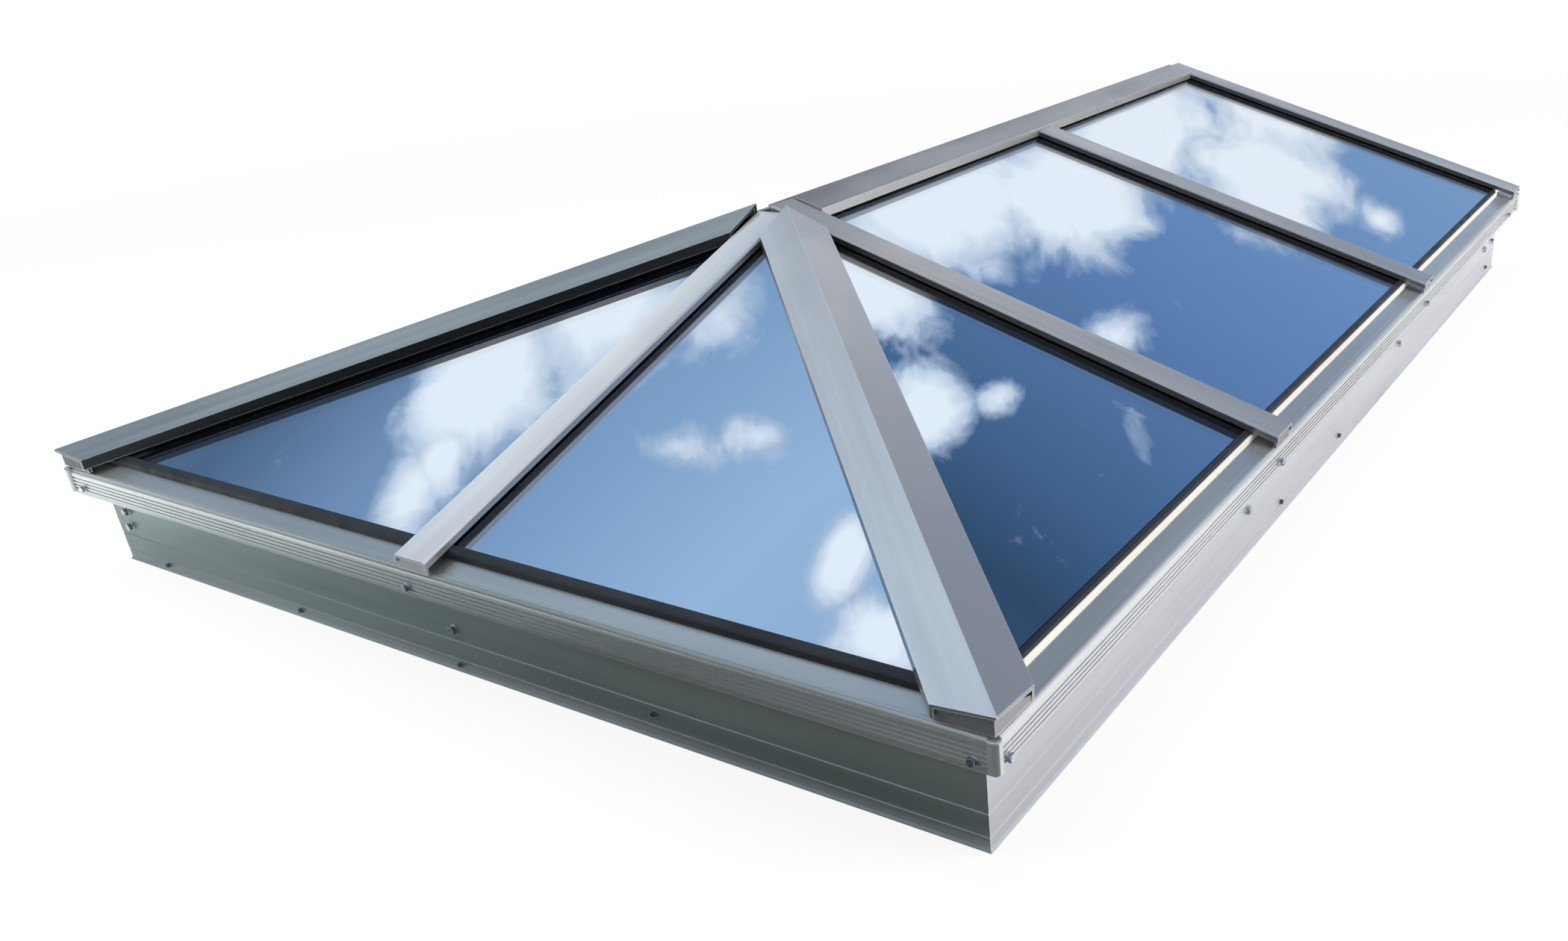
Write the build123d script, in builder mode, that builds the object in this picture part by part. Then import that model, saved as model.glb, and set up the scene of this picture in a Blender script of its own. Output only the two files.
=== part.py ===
from build123d import *
import os
from math import atan, cos, degrees, radians, sin, tan

os.makedirs("parts", exist_ok=True)

# Hipped ridge skylight in millimetres. The ridge runs along X with the hip at -X and
# the upright gable at +X. The origin is the middle of the opening at the curb's foot.
# Offsets named "out" are measured outward from the outer face of a curb wall.

# Overall sizes
width = 1220.0
length = 1820.0
hip_run = 590.0
gable_inset = 10.0
bay_count = 2
pitch = 17.5
eave_height = 140.5

# Curb walls
curb_height = 84.0
curb_width = 38.0
curb_wall = 3.0
score_heights = (14.0, 36.5)
score_size = 1.2
foot_bead = 1.5
gutter_height = 50.0
gutter_reach = 18.0
gutter_lip = 14.0
gutter_wall = 2.0

# Sill extrusions
nose_out = 25.0
nose_top_out = 16.0
nose_top_drop = 5.0
nose_seat_drop = 1.0
nose_shoulder = 119.0
nose_foot = 101.0
curl_out = 20.5
curl_height = 92.0
lip_out = 13.0
lip_in = 10.0
lip_depth = 2.0
face_drop = 6.4
face_start = 1.0
rib_count = 4
rib_width = 1.8
rib_depth = 1.0
groove_out = 21.8
groove_drop = 2.4
groove_radius = 0.6
crest_lean = 0.1
sill_wall = 3.0
rebate_clear = 2.0
seat_gap = 0.75

# Corner beads over the mitres of the nose
bead_radius = 6.0
bead_inset = 3.0
bead_foot = 97.0
bead_top = 128.0
bead_round = 2.5

# Glass, gaskets and stops
glass_thickness = 12.0
glass_edge = 5.0
pane_gap = 6.0
hip_pane_gap = 8.0
ridge_pane_gap = 10.0
gasket_lip = 7.5
gasket_rise = 1.5
stop_width = 2.5
stop_gap = 1.0

# Bars under the glass
bar_width = 36.0
bar_depth = 40.0
bar_wall = 3.0
ridge_width = 36.0
ridge_depth = 60.0

# Caps over the glass
cap_width = 44.5
cap_rise = 10.0
cap_gap = 2.0
cap_wall = 2.5
cap_bevel = 2.0
cap_leg = 8.0
leg_start = 9.0
foot_out = 28.0
web_inset = 2.0
web_wall = 2.5
web_drop = 5.0
ridge_cap_half = 42.0
ridge_cap_rise = 13.0
hip_cap_half = 40.0
hip_crest_rise = 19.5
hip_edge_rise = 15.0
hip_cap_gap = 3.0
closure_inset = 4.0
closure_drop = 2.5
joint_gap = 0.5

# How much longer than needed a sloped bar or cap is drawn before its ends are cut
overrun = 0.25

# Sizes that follow from the ones above
half_width = width / 2
half_length = length / 2
apex_x = -half_length + hip_run
gable_x = half_length - gable_inset
bay = (gable_x - apex_x) / bay_count
side_slope = tan(radians(pitch))
end_slope = side_slope * half_width / hip_run
end_pitch = degrees(atan(end_slope))
hip_angle = degrees(atan(half_width / hip_run))
peak_height = eave_height + side_slope * half_width
sill_seat = eave_height + side_slope * leg_start - glass_thickness / cos(radians(pitch)) - seat_gap
cap_half = cap_width / 2
bar_half = bar_width / 2
ridge_half = ridge_width / 2

wall_planes = {
    "near": Plane(origin=(0, -half_width, 0), x_dir=(0, -1, 0), z_dir=(-1, 0, 0)),
    "far": Plane(origin=(0, half_width, 0), x_dir=(0, 1, 0), z_dir=(1, 0, 0)),
    "hip": Plane(origin=(-half_length, 0, 0), x_dir=(-1, 0, 0), z_dir=(0, 1, 0)),
    "gable": Plane(origin=(half_length, 0, 0), x_dir=(1, 0, 0), z_dir=(0, -1, 0)),
}
wall_halves = {"near": half_length, "far": half_length, "hip": half_width, "gable": half_width}
wall_slopes = {"near": side_slope, "far": side_slope, "hip": end_slope, "gable": side_slope}


def save(piece, name):
    piece.part.label = name
    export_step(piece.part, f"parts/{name}.step")


def mitre_planes(side):
    """The two upright 45 degree planes at the ends of a wall, facing away from it."""
    plane = wall_planes[side]
    for sense in (1, -1):
        corner = plane.origin + plane.z_dir * (sense * wall_halves[side])
        yield Plane(origin=corner, x_dir=(0, 0, 1), z_dir=plane.z_dir * sense - plane.x_dir)


def glass_top(side, out):
    """Height of the glass's upper face at an offset outward from the curb."""
    return eave_height - wall_slopes[side] * out


def glass_bed(side, out):
    """Height of the glass's lower face at an offset outward from the curb."""
    return glass_top(side, out) - glass_thickness * (1 + wall_slopes[side] ** 2) ** 0.5


def sill_face(side, out):
    """Height of the sill's sloped upper face."""
    return glass_top(side, out) - face_drop


def floor_level(side, out):
    """Height of the sill's floor, on which the glass stands."""
    return sill_seat if side == "gable" else glass_bed(side, out)


def nose_top(side):
    """Height of the nose's top, which stays below the gable's seat."""
    return min(sill_face(side, face_start) - nose_top_drop, sill_seat - nose_seat_drop)


# Curb walls
for side, plane in wall_planes.items():
    gutter_in = -curb_width - gutter_reach
    with BuildPart() as curb:
        with BuildSketch(plane):
            with BuildLine():
                Polyline(
                    (foot_bead, 0),
                    (foot_bead, foot_bead),
                    (0, 2 * foot_bead),
                    (0, curb_height),
                    (-curb_width, curb_height),
                    (-curb_width, gutter_height + gutter_wall),
                    (gutter_in + gutter_wall, gutter_height + gutter_wall),
                    (gutter_in + gutter_wall, gutter_height + gutter_lip),
                    (gutter_in, gutter_height + gutter_lip),
                    (gutter_in, gutter_height),
                    (-curb_width, gutter_height),
                    (-curb_width, 0),
                    close=True,
                )
            make_face()
            with Locations((-curb_width / 2, curb_height / 2)):
                Rectangle(curb_width - 2 * curb_wall, curb_height - 2 * curb_wall, mode=Mode.SUBTRACT)
            with Locations(*[(0, height) for height in score_heights]):
                Rectangle(score_size, score_size, rotation=45, mode=Mode.SUBTRACT)
        extrude(amount=wall_halves[side] + nose_out, both=True)
        for mitre in mitre_planes(side):
            split(bisect_by=mitre, keep=Keep.BOTTOM)
    save(curb, f"curb_{side}")


# Sills: a ribbed bull nose, a sloped face, a rebate for the glass and a chamber
def rebate_points(side):
    """The sill's outline from its sloped face in to the inner face."""
    if side == "gable":
        return [(face_start, sill_seat), (-curb_width, sill_seat)]
    back = rebate_clear - glass_edge
    return [
        (face_start, sill_face(side, face_start)),
        (back, sill_face(side, back)),
        (back, glass_bed(side, back)),
        (-curb_width, glass_bed(side, -curb_width)),
    ]


def nose_crest(top):
    """The rounded upper part of the nose, from its shoulder over the groove's place to its top."""
    Spline(
        (nose_out, nose_shoulder), (groove_out, top - groove_drop), (nose_top_out, top),
        tangents=[(0, 1), (-1, crest_lean)],
    )


for side, plane in wall_planes.items():
    crest = nose_top(side)
    lip_top = curb_height + lip_depth
    rib_pitch = (nose_shoulder - nose_foot) / rib_count
    chamber_top = rebate_clear - glass_edge
    with BuildPart() as sill:
        with BuildSketch(plane):
            with BuildLine():
                Line((0, curb_height), (lip_in, curb_height))
                Line((lip_in, curb_height), (lip_out, lip_top))
                Spline(
                    (lip_out, lip_top), (curl_out, curl_height), (nose_out, nose_foot),
                    tangents=[(1, 1), (0, 1)],
                )
                Line((nose_out, nose_foot), (nose_out, nose_shoulder))
                nose_crest(crest)
                Polyline((nose_top_out, crest), *rebate_points(side), (-curb_width, curb_height), (0, curb_height))
            make_face()
            for rib in range(rib_count):
                with Locations((nose_out, nose_foot + (rib + 0.5) * rib_pitch)):
                    Rectangle(2 * rib_depth, rib_width, mode=Mode.SUBTRACT)
            with Locations((groove_out, crest - groove_drop), (curl_out, curl_height)):
                Circle(groove_radius, mode=Mode.SUBTRACT)
            with BuildLine():
                Polyline(
                    (-curb_width + sill_wall, curb_height + sill_wall),
                    (lip_in, curb_height + sill_wall),
                    (nose_out - sill_wall - rib_depth, nose_foot),
                    (nose_out - sill_wall - rib_depth, nose_shoulder),
                    (nose_top_out - sill_wall, crest - sill_wall),
                    (chamber_top, floor_level(side, chamber_top) - sill_wall),
                    (-curb_width + sill_wall, floor_level(side, -curb_width + sill_wall) - sill_wall),
                    close=True,
                )
            make_face(mode=Mode.SUBTRACT)
        extrude(amount=wall_halves[side] + nose_out, both=True)
        for mitre in mitre_planes(side):
            split(bisect_by=mitre, keep=Keep.BOTTOM)
    save(sill, f"sill_{side}")

# Corner beads: a rounded column over each mitre of the nose, fitted to the nose's outline
seat_top = max(nose_top(side) for side in wall_planes)
for end, x in (("hip", -half_length - nose_out + bead_inset), ("gable", half_length + nose_out - bead_inset)):
    for side, y in (("near", -half_width - nose_out + bead_inset), ("far", half_width + nose_out - bead_inset)):
        with BuildPart() as corner:
            for plane, mode in ((wall_planes[end], Mode.ADD), (wall_planes[side], Mode.INTERSECT)):
                with BuildSketch(plane):
                    with BuildLine():
                        Polyline(
                            (nose_top_out, seat_top), (-curb_width, seat_top), (-curb_width, curb_height),
                            (nose_out, curb_height), (nose_out, nose_shoulder),
                        )
                        nose_crest(seat_top)
                    make_face()
                extrude(amount=half_length + nose_out, both=True, mode=mode)
        with BuildPart() as bead:
            with BuildSketch(Plane.XY.offset(bead_foot)):
                with Locations((x, y)):
                    Circle(bead_radius)
            extrude(amount=bead_top - bead_foot)
            fillet(bead.edges().filter_by(GeomType.CIRCLE), radius=bead_round)
            add(corner.part, mode=Mode.SUBTRACT)
        save(bead, f"corner_bead_{end}_{side}")

# Planes that lie in the four glazed slopes, x along the eave and y up the slope
slope_planes = {
    "near": Plane(origin=(0, -half_width, eave_height), x_dir=(1, 0, 0), z_dir=(0, -side_slope, 1)),
    "far": Plane(origin=(0, half_width, eave_height), x_dir=(-1, 0, 0), z_dir=(0, side_slope, 1)),
    "hip": Plane(origin=(-half_length, 0, eave_height), x_dir=(0, -1, 0), z_dir=(-end_slope, 0, 1)),
}
slope_pitches = {"near": pitch, "far": pitch, "hip": end_pitch}


def bed_plane(side):
    """The plane of the glass's lower face, on which the bars' tops lie."""
    return slope_planes[side].offset(-glass_thickness)


def add_pane(name, side, corners):
    """A pane from corners given as distance along the eave and inward in plan."""
    stretch = 1 / cos(radians(slope_pitches[side]))
    with BuildPart() as pane:
        with BuildSketch(slope_planes[side]):
            with BuildLine():
                Polyline(*[(along, inward * stretch) for along, inward in corners], close=True)
            make_face()
        extrude(amount=-glass_thickness)
    save(pane, name)


def hip_x(inward, gap):
    """Where the hip line, moved gap towards the ridge, is at a distance inward from a long side."""
    return -half_length + inward * hip_run / half_width + gap / sin(radians(hip_angle))


def hip_along(inward, gap):
    """Half width of the hip slope, less the gap at its hips, at a distance inward from its eave."""
    return half_width - inward * half_width / hip_run - gap / cos(radians(hip_angle))


ridge_inward = half_width - ridge_pane_gap
for side, sense in (("near", 1), ("far", -1)):
    last = apex_x - pane_gap
    top = (last - hip_x(0, hip_pane_gap)) * half_width / hip_run
    corners = [(hip_x(glass_edge, hip_pane_gap), glass_edge), (last, glass_edge), (last, top)]
    add_pane(f"glass_{side}_1", side, [(sense * along, inward) for along, inward in corners])
    for index in range(bay_count):
        left = apex_x + index * bay + pane_gap
        right = apex_x + (index + 1) * bay - pane_gap
        corners = [(left, glass_edge), (right, glass_edge), (right, ridge_inward), (left, ridge_inward)]
        add_pane(f"glass_{side}_{index + 2}", side, [(sense * along, inward) for along, inward in corners])

for side, sense in (("near", 1), ("far", -1)):
    top = (half_width - pane_gap - hip_pane_gap / cos(radians(hip_angle))) * hip_run / half_width
    corners = [(pane_gap, glass_edge), (hip_along(glass_edge, hip_pane_gap), glass_edge), (pane_gap, top)]
    add_pane(f"glass_hip_{side}", "hip", [(sense * along, inward) for along, inward in corners])


# Ridge beam, with a top that follows both slopes
bed_drop = glass_thickness / cos(radians(pitch))
bed_peak = peak_height - bed_drop
hip_bed_drop = glass_thickness / cos(radians(max(pitch, end_pitch)))
with BuildPart() as ridge_beam:
    with BuildSketch(Plane.YZ.offset(apex_x - ridge_half)):
        with BuildLine():
            Polyline(
                (-ridge_half, bed_peak - side_slope * ridge_half),
                (0, bed_peak),
                (ridge_half, bed_peak - side_slope * ridge_half),
                (ridge_half, bed_peak - ridge_depth),
                (-ridge_half, bed_peak - ridge_depth),
                close=True,
            )
        make_face()
        offset(amount=-bar_wall, mode=Mode.SUBTRACT)
    extrude(amount=gable_x + bar_half - apex_x + ridge_half)
    split(bisect_by=bed_plane("hip"), keep=Keep.BOTTOM)
save(ridge_beam, "ridge_beam")


def rafter_section():
    """A hollow bar whose top lies on the sketch plane's x axis."""
    with Locations((0, -bar_depth / 2)):
        Rectangle(bar_width, bar_depth)
        Rectangle(bar_width - 2 * bar_wall, bar_depth - 2 * bar_wall, mode=Mode.SUBTRACT)


def up_plane(side, along, drop):
    """A plane square to the slope at its eave, with y away from the glass."""
    slope = slope_planes[side]
    origin = slope.from_local_coords((along, 0, -drop))
    return Plane(origin=origin, x_dir=-slope.x_dir, z_dir=slope.y_dir)


for side, sense in (("near", 1), ("far", -1)):
    eave_cut = Plane(origin=(0, -sense * (half_width - curb_width), 0), x_dir=(1, 0, 0), z_dir=(0, -sense, 0))
    ridge_cut = Plane(origin=(0, -sense * ridge_half, 0), x_dir=(1, 0, 0), z_dir=(0, sense, 0))
    for index in range(bay_count + 1):
        rafter_x = apex_x + index * bay
        with BuildPart() as rafter:
            with BuildSketch(up_plane(side, sense * rafter_x, glass_thickness)):
                rafter_section()
            extrude(amount=width)
            split(bisect_by=eave_cut, keep=Keep.BOTTOM)
            split(bisect_by=ridge_cut, keep=Keep.BOTTOM)
            if index == bay_count:
                split(bisect_by=Plane.XY.offset(sill_seat), keep=Keep.TOP)
        save(rafter, f"rafter_{side}_{index + 1}")

with BuildPart() as rafter_hip:
    with BuildSketch(up_plane("hip", 0, glass_thickness)):
        rafter_section()
    extrude(amount=width)
    split(bisect_by=Plane.YZ.offset(-half_length + curb_width), keep=Keep.TOP)
    split(bisect_by=Plane.YZ.offset(apex_x - ridge_half), keep=Keep.BOTTOM)
save(rafter_hip, "rafter_hip")


# Hip bars and hip caps are drawn on an upright plane square to the hip line in plan
def hip_plane(sense):
    """Upright section plane at a hip's eave corner, x to the left of the way up."""
    corner = (-half_length, -sense * half_width, 0)
    plan_dir = Vector(hip_run, sense * half_width, 0)
    return Plane(origin=corner, x_dir=plan_dir.rotate(Axis.Z, 90), z_dir=plan_dir)


long_fall = side_slope * cos(radians(hip_angle))
end_fall = end_slope * sin(radians(hip_angle))


def hip_fall(across, sense):
    """How far the glass lies below the hip line at a distance across it."""
    return abs(across) * (end_fall if across * sense > 0 else long_fall)


for side, sense in (("near", 1), ("far", -1)):
    hip_rise = Vector(hip_run, sense * half_width, side_slope * half_width)
    inner_x = Plane.YZ.offset(-half_length + curb_width)
    inner_y = Plane(origin=(0, -sense * (half_width - curb_width), 0), x_dir=(1, 0, 0), z_dir=(0, sense, 0))
    rafter_face = Plane.YZ.offset(apex_x - bar_half)
    middle_face = Plane(origin=(0, -sense * bar_half, 0), x_dir=(1, 0, 0), z_dir=(0, sense, 0))
    bed = eave_height - hip_bed_drop
    with BuildPart() as hip_bar:
        with BuildSketch(hip_plane(sense)):
            with BuildLine():
                Polyline(
                    (-bar_half, bed - hip_fall(-bar_half, sense)),
                    (0, bed),
                    (bar_half, bed - hip_fall(bar_half, sense)),
                    (bar_half, bed - bar_depth),
                    (-bar_half, bed - bar_depth),
                    close=True,
                )
            make_face()
            offset(amount=-bar_wall, mode=Mode.SUBTRACT)
        extrude(amount=hip_rise.length * (1 + overrun), dir=hip_rise)
        split(bisect_by=inner_x, keep=Keep.TOP)
        split(bisect_by=inner_y, keep=Keep.TOP)
        split(bisect_by=rafter_face, keep=Keep.BOTTOM)
        split(bisect_by=middle_face, keep=Keep.BOTTOM)
    save(hip_bar, f"hip_bar_{side}")


# Gable glass stands on the gable sill, under the end rafters and the ridge beam
bar_foot_drop = (glass_thickness + bar_depth) / cos(radians(pitch))
underside_peak = peak_height - bar_foot_drop
gable_half = (underside_peak - sill_seat) / side_slope
with BuildPart() as glass_gable:
    with BuildSketch(Plane.YZ.offset(gable_x - glass_thickness / 2)):
        with BuildLine():
            Polyline((-gable_half, sill_seat), (gable_half, sill_seat), (0, underside_peak), close=True)
        make_face()
        with Locations((0, bed_peak - ridge_depth / 2)):
            Rectangle(ridge_width, ridge_depth, mode=Mode.SUBTRACT)
    extrude(amount=glass_thickness)
save(glass_gable, "glass_gable")


# Eave gaskets wrap the lower edge of the glass, with a stop before them on the long sides
def eave_strip(name, side, points):
    """A strip along an eave, mitred at the hips and cut square at the gable."""
    with BuildPart() as strip:
        with BuildSketch(wall_planes[side]):
            with BuildLine():
                Polyline(*points, close=True)
            make_face()
        extrude(amount=wall_halves[side] + nose_out, both=True)
        for mitre in mitre_planes(side):
            split(bisect_by=mitre, keep=Keep.BOTTOM)
        if side != "hip":
            split(bisect_by=Plane.YZ.offset(half_length - curb_width), keep=Keep.BOTTOM)
    save(strip, name)


for side in ("hip", "near", "far"):
    front = face_start if side == "hip" else face_start - stop_width
    eave_strip(f"gasket_{side}", side, [
        (front, sill_face(side, front)),
        (front, glass_top(side, front)),
        (front - gasket_rise, glass_top(side, front - gasket_rise) + gasket_rise),
        (-gasket_lip, glass_top(side, -gasket_lip) + gasket_rise),
        (-gasket_lip, glass_top(side, -gasket_lip)),
        (-glass_edge, glass_top(side, -glass_edge)),
        (-glass_edge, sill_face(side, -glass_edge)),
    ])
    if side != "hip":
        back = face_start - stop_width
        eave_strip(f"stop_{side}", side, [
            (face_start, sill_face(side, face_start)),
            (face_start, glass_top(side, face_start) - stop_gap),
            (back, glass_top(side, back) - stop_gap),
            (back, sill_face(side, back)),
        ])


# Rafter caps: a bevelled channel with a leg that stands between the panes on the bar
cap_points = [
    (-cap_half, cap_gap),
    (-cap_half, cap_rise - cap_bevel),
    (-cap_half + cap_bevel, cap_rise),
    (cap_half - cap_bevel, cap_rise),
    (cap_half, cap_rise - cap_bevel),
    (cap_half, cap_gap),
    (cap_half - cap_wall, cap_gap),
    (cap_half - cap_wall, cap_rise - cap_wall),
    (-cap_half + cap_wall, cap_rise - cap_wall),
    (-cap_half + cap_wall, cap_gap),
]


def leg_section():
    """The leg from under the cap down to the bar."""
    with Locations((0, (cap_rise - cap_wall - glass_thickness) / 2)):
        Rectangle(cap_leg, cap_rise - cap_wall + glass_thickness)


def add_cap(name, side, along, foot_cuts, leg_cut, top_cut):
    """A rafter cap up a slope, cut by upright planes. The foot cuts are the foot and a web's two faces."""
    reach = 2 * width
    base = up_plane(side, along, 0)
    start = Plane(origin=base.origin - base.z_dir * width / 2, x_dir=base.x_dir, z_dir=base.z_dir)
    with BuildPart() as leg:
        with BuildSketch(start):
            leg_section()
        extrude(amount=reach)
        split(bisect_by=leg_cut, keep=Keep.TOP)
        split(bisect_by=top_cut, keep=Keep.BOTTOM)
    with BuildPart() as web:
        with BuildSketch(start):
            with Locations((0, (cap_rise - cap_wall - web_drop) / 2)):
                Rectangle(cap_width - 2 * cap_wall, cap_rise - cap_wall + web_drop)
        extrude(amount=reach)
        split(bisect_by=foot_cuts[1], keep=Keep.TOP)
        split(bisect_by=foot_cuts[2], keep=Keep.BOTTOM)
    with BuildPart() as cap:
        with BuildSketch(start):
            with BuildLine():
                Polyline(*cap_points, close=True)
            make_face()
        extrude(amount=reach)
        split(bisect_by=foot_cuts[0], keep=Keep.TOP)
        split(bisect_by=top_cut, keep=Keep.BOTTOM)
        add(leg.part)
        add(web.part)
    save(cap, name)


foot_outs = (foot_out, foot_out - web_inset, foot_out - web_inset - web_wall)
for side, sense in (("near", 1), ("far", -1)):
    def across(y):
        """An upright plane along the eave at a distance from the ridge, facing the ridge."""
        return Plane(origin=(0, -sense * y, 0), x_dir=(1, 0, 0), z_dir=(0, sense, 0))

    for index in range(bay_count + 1):
        top = 0 if index in (0, bay_count) else ridge_cap_half + joint_gap
        add_cap(
            f"rafter_cap_{side}_{index + 1}", side, sense * (apex_x + index * bay),
            [across(half_width + out) for out in foot_outs],
            across(half_width - leg_start), across(top),
        )

add_cap(
    "rafter_cap_hip", "hip", 0,
    [Plane.YZ.offset(-half_length - out) for out in foot_outs],
    Plane.YZ.offset(-half_length + leg_start),
    Plane.YZ.offset(apex_x - cap_half - joint_gap),
)


# Ridge cap, between the caps of the apex rafters and of the gable rafters
ridge_edge = -side_slope * ridge_cap_half
with BuildPart() as ridge_cap:
    with BuildSketch(Plane.YZ.offset(apex_x + cap_half + joint_gap)):
        with BuildLine():
            right = Polyline(
                (0, peak_height + ridge_cap_rise),
                (ridge_cap_half, peak_height + ridge_edge + ridge_cap_rise),
                (ridge_cap_half, peak_height + ridge_edge + cap_gap),
                (ridge_cap_half - cap_wall, peak_height + ridge_edge + cap_gap),
                (ridge_cap_half - cap_wall, peak_height + ridge_edge + ridge_cap_rise - cap_wall),
                (cap_leg / 2, peak_height + ridge_cap_rise - cap_wall - side_slope * cap_leg / 2),
                (cap_leg / 2, bed_peak - side_slope * cap_leg / 2),
                (0, bed_peak),
            )
            mirror(right, about=Plane.YZ)
        make_face()
    extrude(amount=gable_x - apex_x - cap_width - 2 * joint_gap)
save(ridge_cap, "ridge_cap")

# Hip caps, with a peaked section, a leg and a closure at the foot
for side, sense in (("near", 1), ("far", -1)):
    hip_rise = Vector(hip_run, sense * half_width, side_slope * half_width)
    section = hip_plane(sense)
    start = Plane(
        origin=section.origin - hip_rise * overrun + Vector(0, 0, eave_height),
        x_dir=section.x_dir, z_dir=section.z_dir,
    )
    reach = hip_rise.length * (1 + 2 * overrun)
    right_fall = hip_fall(hip_cap_half, sense)
    left_fall = hip_fall(-hip_cap_half, sense)
    inner = hip_cap_half - cap_wall

    def trim(foot_out_here):
        """Keep what lies inward of both eaves, short of the apex caps."""
        split(bisect_by=Plane.YZ.offset(-half_length - foot_out_here), keep=Keep.TOP)
        foot_y = Plane(origin=(0, -sense * (half_width + foot_out_here), 0), x_dir=(1, 0, 0), z_dir=(0, sense, 0))
        split(bisect_by=foot_y, keep=Keep.TOP)
        split(bisect_by=Plane.YZ.offset(apex_x - cap_half - joint_gap), keep=Keep.BOTTOM)
        middle = Plane(origin=(0, -sense * (cap_half + joint_gap), 0), x_dir=(1, 0, 0), z_dir=(0, sense, 0))
        split(bisect_by=middle, keep=Keep.BOTTOM)

    with BuildPart() as leg:
        with BuildSketch(start):
            with Locations((0, (hip_crest_rise - cap_wall - bed_drop) / 2)):
                Rectangle(cap_leg, hip_crest_rise - cap_wall + bed_drop)
        extrude(amount=reach, dir=hip_rise)
        trim(-curb_width)
    with BuildPart() as closure:
        with BuildSketch(start):
            with BuildLine():
                Polyline(
                    (0, hip_crest_rise - cap_wall / 2),
                    (inner, hip_edge_rise - right_fall - cap_wall / 2),
                    (inner, -closure_drop - right_fall),
                    (0, -closure_drop),
                    (-inner, -closure_drop - left_fall),
                    (-inner, hip_edge_rise - left_fall - cap_wall / 2),
                    close=True,
                )
            make_face()
        extrude(amount=reach, dir=hip_rise)
        closure_out = foot_out - closure_inset
        trim(closure_out)
        with BuildSketch(Plane.XY):
            with Locations((-half_length - closure_out + cap_wall, -sense * (half_width + closure_out - cap_wall))):
                Rectangle(width, width, align=(Align.MIN, Align.MIN if sense > 0 else Align.MAX))
        extrude(amount=2 * peak_height, mode=Mode.SUBTRACT)
    with BuildPart() as hip_cap:
        with BuildSketch(start):
            with BuildLine():
                Polyline(
                    (0, hip_crest_rise),
                    (hip_cap_half, hip_edge_rise - right_fall),
                    (hip_cap_half, hip_cap_gap - right_fall),
                    (inner, hip_cap_gap - right_fall),
                    (inner, hip_edge_rise - right_fall - cap_wall),
                    (0, hip_crest_rise - cap_wall),
                    (-inner, hip_edge_rise - left_fall - cap_wall),
                    (-inner, hip_cap_gap - left_fall),
                    (-hip_cap_half, hip_cap_gap - left_fall),
                    (-hip_cap_half, hip_edge_rise - left_fall),
                    close=True,
                )
            make_face()
        extrude(amount=reach, dir=hip_rise)
        trim(foot_out)
        add(leg.part)
        add(closure.part)
    save(hip_cap, f"hip_cap_{side}")
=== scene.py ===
import bpy, bmesh, math
from mathutils import Matrix, Vector


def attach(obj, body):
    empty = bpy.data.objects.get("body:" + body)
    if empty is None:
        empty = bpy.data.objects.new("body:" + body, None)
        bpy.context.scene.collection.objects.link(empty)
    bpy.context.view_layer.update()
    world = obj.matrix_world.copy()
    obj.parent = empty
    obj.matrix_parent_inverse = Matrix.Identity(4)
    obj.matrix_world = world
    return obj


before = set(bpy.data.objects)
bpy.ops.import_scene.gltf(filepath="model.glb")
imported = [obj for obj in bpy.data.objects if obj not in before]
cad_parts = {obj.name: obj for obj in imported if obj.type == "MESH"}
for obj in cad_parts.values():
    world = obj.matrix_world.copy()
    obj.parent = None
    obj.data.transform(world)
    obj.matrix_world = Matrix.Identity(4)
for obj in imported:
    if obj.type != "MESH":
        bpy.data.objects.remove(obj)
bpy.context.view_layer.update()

print("frame loaded")

# the roof's main sizes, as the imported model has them, in metres
roof = {
    "halfWidth": 0.610,
    "halfLength": 0.910,
    "apexX": -0.320,
    "bay": 0.610,
    "bays": 2,
    "eave": 0.1405,
    "slope": math.tan(math.radians(17.5)),
    "glassEdge": 0.005,
    "paneGap": 0.006,
    "hipGap": 0.008,
    "ridgeGap": 0.010,
}
hipRun = roof["apexX"] + roof["halfLength"]
endSlope = roof["slope"] * roof["halfWidth"] / hipRun
hipAngle = math.atan2(roof["halfWidth"], hipRun)


# camera
cameraLook = {
    "location": (-1.6041, -1.0396, 0.6713),
    "turn": (62.794, 3.754, -58.16),
    "lens": 30.358,
    "shift": (-0.0952, 0.0619),
    "nearest": 0.01,
}
cameraData = bpy.data.cameras.new("camera")
camera = bpy.data.objects.new("camera", cameraData)
bpy.context.collection.objects.link(camera)
camera.location = cameraLook["location"]
camera.rotation_euler = [math.radians(v) for v in cameraLook["turn"]]
cameraData.lens = cameraLook["lens"]
cameraData.shift_x, cameraData.shift_y = cameraLook["shift"]
cameraData.clip_start = cameraLook["nearest"]
bpy.context.scene.camera = camera
bpy.context.scene.view_settings.view_transform = "Standard"
print("camera placed")


# node helpers
def rgb(text):
    # a web colour as the linear colour that the nodes want, by the standard curve
    values = [int(text[i:i + 2], 16) / 255 for i in (1, 3, 5)]
    linear = [v / 12.92 if v < 0.04045 else ((v + 0.055) / 1.055) ** 2.4 for v in values]
    return (*linear, 1.0)


def feed(tree, node, values):
    # links sockets to a node's inputs, and gives the others a web colour or a plain value
    for key, value in values.items():
        if isinstance(value, bpy.types.NodeSocket):
            tree.links.new(value, node.inputs[key])
        else:
            node.inputs[key].default_value = rgb(value) if isinstance(value, str) else value


def makeNode(tree, kind, values=None, **settings):
    node = tree.nodes.new(kind)
    for key, value in settings.items():
        setattr(node, key, value)
    feed(tree, node, values or {})
    return node


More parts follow.
